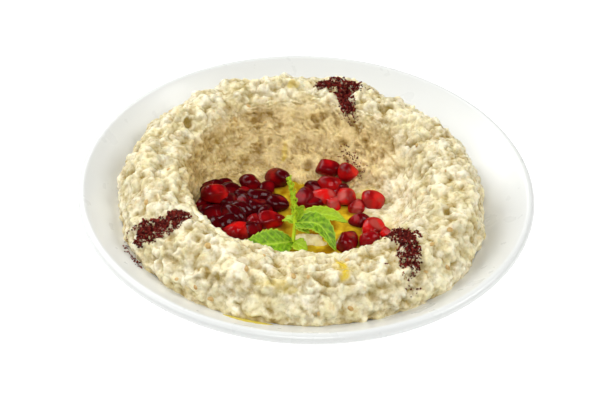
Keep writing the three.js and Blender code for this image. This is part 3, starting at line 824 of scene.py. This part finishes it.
class MEZE_OT_dip(bpy.types.Operator):
    """Pile up the aubergine dip: a spooned well, and a ring of curds round and over its edge"""

    bl_idname = "meze.dip"
    bl_label = "Dip"

    def execute(self, context):
        settings = context.scene.meze_dip
        seed_set(CURD_SEED)
        material = curdled_dip(settings)
        self.well(material, settings.smear_depth / MM)
        self.ring(material, settings.curd / MM, settings.curd_depth / MM)
        return {"FINISHED"}

    def well(self, material, depth, sides=520):
        """The well's floor and wall, and the core that the ring of curds lies on."""
        bm, (open_to_light, spooned_and_shaded, oil) = new_mesh("open_to_light", "spooned_and_shaded", "oil")
        shares = [lerp(a, b, i / count) for a, b, count in WELL_ROWS for i in range(count)] + [1]
        section_at = cache(dip_section)

        def place(vert, theta, row):
            if row >= len(shares):
                r = CORE_UNDER[row - len(shares)]
                vert.co = polar(r, theta, plate_inside(r) - 0.3)
                return
            share = shares[row]
            point, facing = dip_point(section_at(theta), theta, share)
            if share < WALL_EDGE:
                point.z = max(point.z, shore_height(point, theta)) + mound_height(point)
            edge = around(SMOOTH_TO, theta)
            sunk = CORE_SUNK * smoothstep(share, edge + 0.01, edge + 0.09)
            steep = smoothstep(share, WALL_FOOT - 0.04, WALL_FOOT + 0.05)
            marks = spoon_marks(point, theta, share) * (1 - min(0.8, mound_height(point)))
            pit = pit_depth(point)
            height = depth * lerp(0.45, 1, steep) * marks - sunk - pit
            # Painted shade: the ridges of the spoon marks are made lighter, their hollows and the
            # pits darker, and the back and left of the wall darker, as they face away from the
            # light.
            toned = lerp(0.75, 0.55, wall_tint_and_shade(theta)) + 0.3 * marks - 0.4 * pit
            vert[open_to_light] = min(1, max(0, toned))
            # The spooned wall's colour, with its painted shade, on the back and left of the wall.
            vert[spooned_and_shaded] = wall_tint_and_shade(theta) * (1 - smoothstep(share, edge - 0.03, edge + 0.05))
            pool = 1 - smoothstep(point.xy.length - around(POOL_REACH, theta), -1, 2)
            drowned = 0.75 - 0.4 * min(1, mound_height(point))
            vert[oil] = max(wetness(point), drowned * pool * (share < WALL_EDGE))
            vert.co = point + facing * height

        rolled_skin(bm, sides, len(shares) + len(CORE_UNDER) - 1, place)
        finish(bm, "dip_well", material, "aubergine_dip", "dip")

    def ring(self, material, size, depth, sides=860, rows=104, buried=6):
        """The curds, from where they hang over the wall to the foot of the ring."""
        bm, (open_to_light, spooned_and_shaded, oil) = new_mesh("open_to_light", "spooned_and_shaded", "oil")
        section_at = cache(dip_section)

        def place(vert, theta, row):
            section = section_at(theta)
            edge = around(SMOOTH_TO, theta) + 0.03 * noise(polar(1, theta, 0.1) * 9)
            lip = edge - 0.045
            if row > rows:
                back = (row - rows) / buried
                point, facing = dip_point(section, theta, lerp(0.97, lip, back))
                vert.co = point - facing * lerp(6, 3.4, back)
                return
            share = lerp(lip, 1, row / rows)
            point, facing = dip_point(section, theta, share)
            height, crease = curdle(point, size)
            foot = smoothstep(share, FLANK_FOOT - 0.1, 1)
            risen = smoothstep(share, lip, edge + 0.02)
            loose = Vector(noise_vector(point / 2.6)) * 0.5 * risen
            grown = risen * lerp(0.6, 1, smoothstep(share, edge, edge + 0.1)) * lerp(1, 0.5, foot)
            pit = pit_depth(point)
            lift = depth * grown * height - 3 * (1 - risen) ** 1.5 - pit
            # Painted shade: the creases and pits of the curds are darkened in colour.
            vert[open_to_light] = min(1, max(0, crease - 0.4 * pit))
            # The wall's colour, with its painted shade, runs up over the lip at the back and left;
            # the foot of the ring takes some of it too, more towards the plate.
            inner = wall_tint_and_shade(theta) * (1 - smoothstep(share, edge - 0.04, edge + 0.09))
            vert[spooned_and_shaded] = max(inner, 0.45 * smoothstep(share, 0.9, 0.98))
            vert[oil] = wetness(point)
            vert.co = point + facing * lift + loose

        rolled_skin(bm, sides, rows + buried, place)
        finish(bm, "dip_ring", material, "aubergine_dip", "dip")


# ---- Pomegranate ----
def rest_height(x, y, radius, others):
    """The height at which a ball rests on the dip and on other seeds."""
    height = -inf
    for reach in (0, 0.4, 0.7, 0.95):
        for turn in range(8):
            dx, dy, _ = polar(reach * radius, turn * TURN / 8)
            rise = radius * sqrt(1 - reach * reach)
            height = max(height, dip_height(x + dx, y + dy) + rise)
    for other_x, other_y, other_z, other_radius in others:
        apart = hypot(x - other_x, y - other_y)
        touch = SEED_TOUCH * (radius + other_radius)
        if apart < touch:
            height = max(height, other_z + sqrt(touch * touch - apart * apart))
    return height


def settle(seeds):
    """Each seed with its height, resting on those before it."""
    settled, balls = [], []
    for x, y, turn, tilt, size, ripe_and_shade in seeds:
        radius = SEED["high"] * size / 2
        z = rest_height(x, y, radius, balls)
        balls.append((x, y, z, radius))
        settled.append((Vector((x, y, z)), turn, tilt, size, ripe_and_shade))
    return settled


def pressed(direction, facets):
    """How far a seed reaches along a direction, pressed flat by its neighbours."""
    total = 1.0
    for normal, distance in facets:
        total += max(0, direction.dot(normal) / distance) ** FACET_SHARPNESS
    return PRESSED_SWELL * total ** (-1 / FACET_SHARPNESS)


def add_seed(bm, ripe_and_shade_layer, seed, facet, draw):
    """One pomegranate seed: a pressed drop of flesh, blunt at one end."""
    middle, turn, tilt, size, ripe_and_shade = seed
    facets = []
    for _ in range(SEED_FACETS):
        way = Vector((draw.gauss(0, 0.7), draw.gauss(0, 1), draw.gauss(0, 1))).normalized()
        facets.append((way, draw.uniform(facet - FACET_SPREAD, facet + FACET_SPREAD)))
    turned = Matrix.Rotation(radians(turn), 3, "Z")
    turned @= Matrix.Rotation(radians(tilt), 3, "Y")
    ball = bmesh.ops.create_icosphere(bm, subdivisions=5, radius=1)
    for vert in ball["verts"]:
        way = vert.co.normalized()
        reach = pressed(way, facets)
        taper = 1 - SEED["taper"] * way.x
        sizes = Vector((SEED["long"], SEED["wide"] * taper, SEED["high"] * taper))
        vert.co = middle + turned @ (way * sizes * reach * size / 2)
        edge_shade = smoothstep(reach, 0.92, 1.12) - 0.4  # painted shade: the seed is darker at its rounded edges, where facets meet
        vert[ripe_and_shade_layer] = ripe_and_shade + edge_shade * (0.45 + max(0, -ripe_and_shade))


def make_seeds(context, name, seeds, draw, node):
    settings = context.scene.meze_pomegranate
    material = bpy.data.materials.get("pomegranate_flesh") or pomegranate_flesh(settings)
    bm, (ripe_and_shade_layer,) = new_mesh("ripe_and_shade")
    for seed in seeds:
        add_seed(bm, ripe_and_shade_layer, seed, settings.facet, draw)
    finish(bm, name, material, "pomegranate", node)


class MEZE_OT_pomegranate(bpy.types.Operator):
    """Drop the pomegranate seeds: two heaps and seven loose ones"""

    bl_idname = "meze.pomegranate"
    bl_label = "Pomegranate seeds"

    def execute(self, context):
        draw = random.Random(21)
        left, right = settle(LEFT_HEAP), settle(RIGHT_HEAP)
        left += [seed for under in LEFT_UNDER for seed in settle([under])]
        right += [seed for under in RIGHT_UNDER for seed in settle([under])]
        make_seeds(context, "seed_heap_left", left, draw, "pomegranate_left")
        make_seeds(context, "seed_heap_right", right, draw, "pomegranate_right")
        for i, seed in enumerate(settle(LOOSE_SEEDS), 1):
            make_seeds(context, f"loose_seed_{i}", [seed], draw, f"pomegranate_seed_{i}")
        return {"FINISHED"}


# ---- Oil ----
def oil_edge(theta):
    """Radius at which the dip comes up through the oil."""
    section = dip_section(theta)
    share = WALL_FOOT
    while spline(section, share).y < OIL_LEVEL:
        share += 0.002
    return min(spline(section, share).x, around(POOL_REACH, theta) + 3.5)


def gap_to_seed(point, seed):
    """Rough distance on the level from a point to the side of a pomegranate seed."""
    middle, turn, _, size, _ = seed
    away = (point - middle).xy
    lie = away @ Matrix.Rotation(-radians(turn), 2)
    reach = hypot(lie.x * 2 / SEED["long"], lie.y * 2 / SEED["wide"]) / size
    return (reach - 0.8) * SEED["wide"] * size / 2


def among_left_heap(point):
    """1 between the close-packed seeds on the left, where their juice gathers and dark red shade
    is painted.
    """
    return 1 - smoothstep(oval_reach(point.x, point.y, *JUICE_AND_SHADE), 0.8, 1.0)


class MEZE_OT_oil(bpy.types.Operator):
    """Pour olive oil on the well's floor, and let some run to the foot of the ring"""

    bl_idname = "meze.oil"
    bl_label = "Olive oil"

    def execute(self, context):
        settings = context.scene.meze_oil
        climb = settings.meniscus / MM
        sides, rows = 260, 84
        seeds = settle(LEFT_HEAP) + settle(RIGHT_HEAP) + settle(LOOSE_SEEDS)
        bm, (juice_and_shade, _) = new_mesh("juice_and_shade", "thin")
        edge_at = cache(oil_edge)

        def place(vert, theta, row):
            edge, share = edge_at(theta), row / rows
            r = (edge + POOL_SUNK) * (1 - abs(1 - 2 * share))
            top = share <= 0.5
            climbed = OIL_LEVEL + climb * exp(-abs(edge - r) / CREEP["dip"])
            vert.co = polar(r, theta, climbed if top else WELL_FLOOR - 0.6)
            if not top:
                return
            near = max(0, min(gap_to_seed(vert.co, seed) for seed in seeds))
            vert.co.z += climb * exp(-near / CREEP["seed"])
            # Juice with painted shade: the oil turns dark red beside each seed and between the
            # seeds on the left.
            vert[juice_and_shade] = max(exp(-near / JUICE_AND_SHADE_SPREAD), among_left_heap(vert.co))

        rolled_skin(bm, sides, rows, place)
        material = olive_oil(settings)
        finish(bm, "oil_pool", material, "olive_oil", "olive_oil")
        self.trickle(material)
        return {"FINISHED"}

    def trickle(self, material):
        """A thin crescent of oil on the plate, at the foot of the ring."""
        bm, (_, thin) = new_mesh("juice_and_shade", "thin")
        rows = 60

        def place(vert, turn, row):
            share = row / rows
            theta = radians(lerp(TRICKLE["from"], TRICKLE["to"], share))
            swell = max(0, sin(pi * share)) ** 0.6
            across, up = cos(turn), sin(turn)
            wide = TRICKLE["wide"] * swell * (1 + 0.3 * noise(Vector((share * 9, 0, 5))))
            r = around(RING_BASE, theta) + TRICKLE["out"] + wide * across
            z = plate_inside(r) + swell * TRICKLE["high"] * (max(0, up) + 0.3 * min(0, up))
            vert.co = polar(r, theta, z)
            vert[thin] = 1

        rolled_skin(bm, 20, rows, place)
        finish(bm, "oil_trickle", material, "olive_oil")


# ---- Mint ----
def add_leaf(bm, layers, rib, width, face, thickness, young, fold=0.16):
    """A mint leaf: toothed edge, sunken veins, and a fold along its midrib."""
    vein_layer, young_layer = layers
    long = sum((b - a).length for a, b in zip(rib, rib[1:]))
    across, along = (20, 64) if width > SMALL_LEAF else (10, 28)
    teeth = max(5, round(long / TOOTH))
    face = Vector(face).normalized()
    grid = bmesh.ops.create_grid(bm, x_segments=across, y_segments=along, size=1, calc_uvs=True)
    faces = list(dict.fromkeys(face for vert in grid["verts"] for face in vert.link_faces))
    for vert in grid["verts"]:
        s, t = vert.co.x, (vert.co.y + 1) / 2
        way = spline_way(rib, t)
        side = face.cross(way).normalized()
        facing = way.cross(side)
        share = max(0.1 if t < 0.5 else 0.01, sin(pi * min(1, t) ** 0.8))
        tooth = 1 - (t * teeth) % 1
        half = width / 2 * share * (1 + 0.2 * (tooth - 0.5) * abs(s) ** 6)
        branch = t * teeth * 0.62 - abs(s) * 1.5
        off_vein = abs(branch - round(branch))
        rib_width = 0.06 + 0.05 * (1 - t)
        midrib = exp(-((s / rib_width) ** 2))
        side_vein = exp(-((off_vein / 0.1) ** 2)) * smoothstep(abs(s), 0.02, 0.12)
        side_vein *= 1 - 0.6 * abs(s)
        vein = max(midrib, 0.75 * side_vein)
        puff = sin(pi * min(0.5, off_vein) * 2) * (1 - s * s)
        wave = 0.3 * sin(t * 17 + 2) * s * s + fold * width * abs(s) * share
        height = wave - 0.35 * vein * width / 12 + 0.5 * puff * width / 12
        vert.co = spline(rib, t) + side * (-s * half) + facing * height
        edge = smoothstep(abs(s), 0.84, 1.0)
        vert[vein_layer] = max(0.9 * vein, 0.8 * edge)
        vert[young_layer] = young
    bmesh.ops.solidify(bm, geom=faces, thickness=thickness)


class MEZE_OT_mint(bpy.types.Operator):
    """Stand the sprig of mint in the well: stem, leaves and a spike of buds"""

    bl_idname = "meze.mint"
    bl_label = "Mint"

    def execute(self, context):
        settings = context.scene.meze_mint
        thickness = settings.thickness / MM
        stem = [Vector(point) for point in STEM_POINTS]
        bm, layers = new_mesh("vein", "young")
        draw = random.Random(8)
        for rib, width, face in LEAVES:
            rib = [Vector(point) for point in rib]
            young = 0.1 if width > 9 else 0.45
            add_leaf(bm, layers, rib, width, face, thickness, young)
        for i in range(BUDS["count"]):
            share = lerp(BUDS["from"], BUDS["to"], i / (BUDS["count"] - 1))
            root = spline(stem, share)
            out = i * BUDS["turn"] + draw.uniform(-0.4, 0.4)
            side = polar(1, out)
            size = lerp(1, 0.6, share)
            reach = (side * draw.uniform(0.35, 0.55) + UP).normalized()
            tip = reach * BUDS["long"] * size
            rib = [root, root + tip / 2 + side * 0.3, root + tip]
            facing, young = side + UP * 0.3, draw.uniform(0.6, 1)
            add_leaf(bm, layers, rib, BUDS["wide"] * size, facing, 0.3, young)
        self.add_stem(bm, layers, stem, settings.stem / MM)
        bmesh.ops.recalc_face_normals(bm, faces=bm.faces)
        finish(bm, "mint_leaves", mint_leaf(settings), "mint", "mint_sprig")
        return {"FINISHED"}

    def add_stem(self, bm, layers, stem, radius, rows=70):
        vein_layer, young_layer = layers

        def place(vert, turn, row):
            along = min(1, max(0, (row - 1) / (rows - 2)))
            way = spline_way(stem, along)
            side = way.cross(Vector((0, 1, 0))).normalized()
            other = way.cross(side)
            square = 1 + 0.12 * cos(4 * turn)  # mint stems are nearly square
            wide = radius * lerp(1, 0.45, along) * square if 0 < row < rows else 0
            out = side * cos(turn) + other * sin(turn)
            vert.co = spline(stem, along) + out * wide
            vert[vein_layer], vert[young_layer] = 0.25, 1.0

        rolled_skin(bm, 24, rows, place)


# ---- Small things on the dip ----
def drop_on_dip():
    """A function that gives the dip's surface under (x, y), and the way it faces."""
    graph = bpy.context.evaluated_depsgraph_get()
    names = ("dip_ring", "dip_well", "porcelain_plate")
    skins = [BVHTree.FromObject(bpy.data.objects[name], graph) for name in names]

    def land(x, y):
        hits = [skin.ray_cast(Vector((x, y, 80)) * MM, -UP) for skin in skins]
        hits = [hit for hit in hits if hit[0] is not None]
        if not hits:
            return None, None
        point, normal = max(hits, key=lambda hit: hit[0].z)[:2]
        return point / MM, normal

    return land


class Grains:
    """Many small uneven grains in one mesh, each made on its own and then added."""

    def __init__(self, subdivisions, unevenness):
        self.bm, _ = new_mesh()
        self.ball = bmesh.new()
        bmesh.ops.create_icosphere(self.ball, subdivisions=subdivisions, radius=0.5)
        self.ways = [vert.co.copy() for vert in self.ball.verts]
        self.mesh = bpy.data.meshes.new("grain")
        self.unevenness = unevenness

    def add(self, point, normal, sizes, draw):
        """A grain of these sizes that lies on a surface."""
        lie = normal.to_track_quat("Z", "Y") @ Quaternion(UP, draw.uniform(0, TURN))
        sizes = Vector(sizes)
        for vert, way in zip(self.ball.verts, self.ways):
            uneven = 1 + draw.uniform(-self.unevenness, self.unevenness)
            vert.co = point + lie @ (way * sizes * uneven)
        self.ball.to_mesh(self.mesh)
        self.bm.from_mesh(self.mesh)

    def finish(self, name, material, slot):
        self.ball.free()
        bpy.data.meshes.remove(self.mesh)
        finish(self.bm, name, material, slot)


class MEZE_OT_sumac(bpy.types.Operator):
    """Scatter three pinches of sumac, grain by grain"""

    bl_idname = "meze.sumac"
    bl_label = "Sumac"

    def execute(self, context):
        draw = random.Random(4)
        land = drop_on_dip()
        grains = Grains(1, 0.28)
        for line, stray, count, pile in SUMAC_PINCHES:
            line = [Vector(point) for point in line]
            for _ in range(count):
                away, out = draw.random() ** 0.6, draw.uniform(0, TURN)
                middle = spline(line, draw.random())
                ragged = stray * away * (1 + 0.5 * noise(middle.to_3d() / 2.5))
                x, y = middle + Vector((cos(out), sin(out))) * ragged
                point, normal = land(x, y)
                bare = noise(Vector((x, y, 3)) / 2.4) < -0.22 and away > 0.5
                if point is None or bare:
                    continue
                point += normal * (draw.uniform(0, pile) * (1 - away * away) + 0.15)
                long, wide, high = [draw.uniform(*limits) for limits in SUMAC_GRAIN.values()]
                lean = Vector((draw.gauss(0, 0.7), draw.gauss(0, 0.7), 0))
                sizes = (long, long * wide, long * high)
                grains.add(point, (normal + lean).normalized(), sizes, draw)
        grains.finish("sumac_grains", ground_sumac(context.scene.meze_sumac), "aubergine_dip")
        return {"FINISHED"}


class MEZE_OT_aubergine_seeds(bpy.types.Operator):
    """Press the aubergine's own seeds into the ring"""

    bl_idname = "meze.aubergine_seeds"
    bl_label = "Aubergine seeds"

    def execute(self, context):
        draw = random.Random(15)
        land = drop_on_dip()
        grains = Grains(3, 0.01)
        places = list(AUBERGINE_SEEDS)
        for _ in range(MORE_SEEDS["count"]):
            theta, r = draw.uniform(0, TURN), draw.uniform(*MORE_SEEDS["band"])
            places.append((*polar(r, theta).xy, draw.uniform(*MORE_SEEDS["size"])))
        for x, y, size in places:
            point, normal = land(x, y)
            if point is None:
                continue
            sizes = Vector(AUBERGINE_SEED) * size
            grains.add(point - normal * 0.19 * size, normal, sizes, draw)
        material = aubergine_seed_coat(context.scene.meze_sumac)
        grains.finish("aubergine_seeds", material, "aubergine_dip")
        return {"FINISHED"}


# ---- Stage ----
IMAGE = (603, 414)  # pixels
DIP_MIDDLE = Vector((0, 0, 0.02))
DIP_MIDDLE_PIXEL = (305.92, 198.29)

SOFTBOX = {"distance": 1.5, "width": 0.7}  # metres
SOFTBOXES = [  # name, degrees round from +X, degrees up, watts
    ("key_from_back", 120, 40, 8.6),
    ("key_from_back_left", 150, 30, 6.8),
    ("fill_from_left", 180, 40, 5.6),
    ("fill_from_front_left", 210, 45, 2.6),
    ("fill_from_front", 270, 52, 10.6),
    ("fill_from_right", 0, 45, 11.5),
]
WORLD_STRENGTH = 0.02
FLOOR_GLOW = 0.66
FLOOR_HALF = 4  # metres from the floor's middle to its edges


def face_dip(name, data, turned, distance):
    """A light or camera at a distance from the dip's middle, which it faces."""
    item = bpy.data.objects.new(name, data)
    back = Matrix.Translation((0, 0, distance))
    item.matrix_world = Matrix.Translation(DIP_MIDDLE) @ turned @ back
    bpy.context.scene.collection.objects.link(item)
    return item


class MEZE_OT_stage(bpy.types.Operator):
    """Set the pale floor, the soft lights and the camera"""

    bl_idname = "meze.stage"
    bl_label = "Stage"

    def execute(self, context):
        scene, settings = context.scene, context.scene.meze_stage
        bm = bmesh.new()
        bmesh.ops.create_grid(bm, x_segments=1, y_segments=1, size=FLOOR_HALF / MM)
        add_piece(bm, "pale_floor", paper_floor(settings))
        for name, around_deg, up_deg, power in SOFTBOXES:
            turned = Matrix.Rotation(radians(around_deg), 4, "Z")
            turned @= Matrix.Rotation(radians(90 - up_deg), 4, "Y")
            light = bpy.data.lights.new(name, "AREA")
            light.size, light.energy = SOFTBOX["width"], power
            face_dip(name, light, turned, SOFTBOX["distance"])
        world = bpy.data.worlds.new("studio")
        world.use_nodes = True
        glow = world.node_tree.nodes["Background"].inputs
        glow["Color"].default_value = (1, 1, 1, 1)
        glow["Strength"].default_value = WORLD_STRENGTH
        scene.world = world
        scene.view_settings.view_transform = "Standard"
        self.camera(scene, settings)
        return {"FINISHED"}

    def camera(self, scene, settings):
        lens = bpy.data.cameras.new("camera")
        lens.lens = settings.lens
        wide, high = IMAGE
        lens.shift_x = (wide / 2 - DIP_MIDDLE_PIXEL[0]) / wide
        lens.shift_y = (DIP_MIDDLE_PIXEL[1] - high / 2) / wide
        tip = pi / 2 - settings.elevation
        turned = Matrix.Rotation(tip, 4, "X") @ Matrix.Rotation(settings.roll, 4, "Z")
        scene.camera = face_dip("camera", lens, turned, settings.distance)


STEPS = [
    MEZE_OT_plate,
    MEZE_OT_dip,
    MEZE_OT_oil,
    MEZE_OT_pomegranate,
    MEZE_OT_mint,
    MEZE_OT_sumac,
    MEZE_OT_aubergine_seeds,
    MEZE_OT_stage,
]


class MEZE_PT_plateful(bpy.types.Panel):
    """The plateful's steps and sizes"""

    bl_idname = "MEZE_PT_plateful"
    bl_label = "Baba Ganoush"
    bl_space_type = "VIEW_3D"
    bl_region_type = "UI"
    bl_category = "Meze"

    def draw(self, context):
        for step in STEPS:
            self.layout.operator(step.bl_idname)
        for name, group in SETTINGS.items():
            box = self.layout.box()
            for field in group.__annotations__:
                box.prop(getattr(context.scene, name), field)


def register():
    for group in SETTINGS.values():
        bpy.utils.register_class(group)
    for name, group in SETTINGS.items():
        setattr(bpy.types.Scene, name, bpy.props.PointerProperty(type=group))
    for step in (*STEPS, MEZE_PT_plateful):
        bpy.utils.register_class(step)


def unregister():
    for step in reversed((*STEPS, MEZE_PT_plateful)):
        bpy.utils.unregister_class(step)
    for name, group in SETTINGS.items():
        delattr(bpy.types.Scene, name)
        bpy.utils.unregister_class(group)


def main():
    register()
    for step in STEPS:
        module, name = step.bl_idname.split(".")
        getattr(getattr(bpy.ops, module), name)()


if __name__ == "__main__":
    main()
